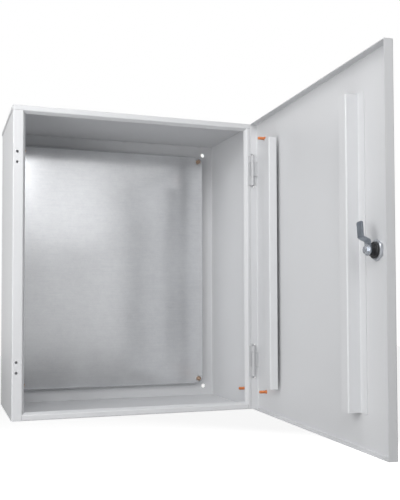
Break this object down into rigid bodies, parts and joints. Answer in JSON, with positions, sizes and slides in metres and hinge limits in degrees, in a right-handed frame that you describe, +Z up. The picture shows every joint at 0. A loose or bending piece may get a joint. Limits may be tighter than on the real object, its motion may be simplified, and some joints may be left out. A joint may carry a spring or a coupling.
{
  "type": "wall enclosure",
  "caption": "Sheet-steel wall enclosure with a hinged pan door, a quarter-turn cam lock and a mounting plate on studs inside.",
  "frame": {"origin": "centre of the four wall holes, on the back face that lies on the wall", "axes": "+X to the right seen from the front, +Y into the wall, +Z up; the hinges are on the right and the door is drawn open"},
  "size_m": [0.5082, 0.7323, 0.6],
  "materials": {
    "paint": "light grey powder coat, semi-gloss",
    "galvanised": "galvanised sheet",
    "zinc": "zinc plated",
    "copper": "copper plated",
    "black_metal": "black coated casting",
    "black_plastic": "satin",
    "seal": "matt"
  },
  "bodies": {
    "cabinet": {"body_wrap": "paint", "top_panel": "paint", "bottom_panel": "paint", "tack_welds": "paint", "mounting_plate": "galvanised", "plate_studs": "copper", "plate_spacers": "zinc", "plate_washers": "zinc", "plate_nuts": "copper", "side_earth_stud": "copper", "upper_hinge_leaf": "paint", "lower_hinge_leaf": "paint", "upper_hinge_pin": "zinc", "lower_hinge_pin": "zinc", "hinge_washers": "zinc", "hinge_nuts": "zinc"},
    "door": {"upper_door_leaf": "paint", "lower_door_leaf": "paint", "door_panel": "paint", "hinge_side_stiffener": "paint", "lock_side_stiffener": "paint", "door_earth_studs": "copper", "lock_seal": "seal", "lock_housing": "black_metal", "lock_nut": "zinc", "lock_collar": "black_plastic"},
    "lock_rotor": {"lock_insert": "zinc", "lock_cam": "zinc", "cam_washer": "zinc", "cam_screw": "zinc"}
  },
  "joints": [
    {"name": "door_swing", "type": "hinge", "parent": "cabinet", "child": "door", "pos_m": [0.2455, -0.2385, 0], "axis": [0, 0, 1], "range_deg": [-87, 33]},
    {"name": "lock_turn", "type": "hinge", "parent": "door", "child": "lock_rotor", "pos_m": [0.23343, -0.68849, 0], "axis": [0.9986, -0.0523, 0], "range_deg": [0, 97]}
  ]
}
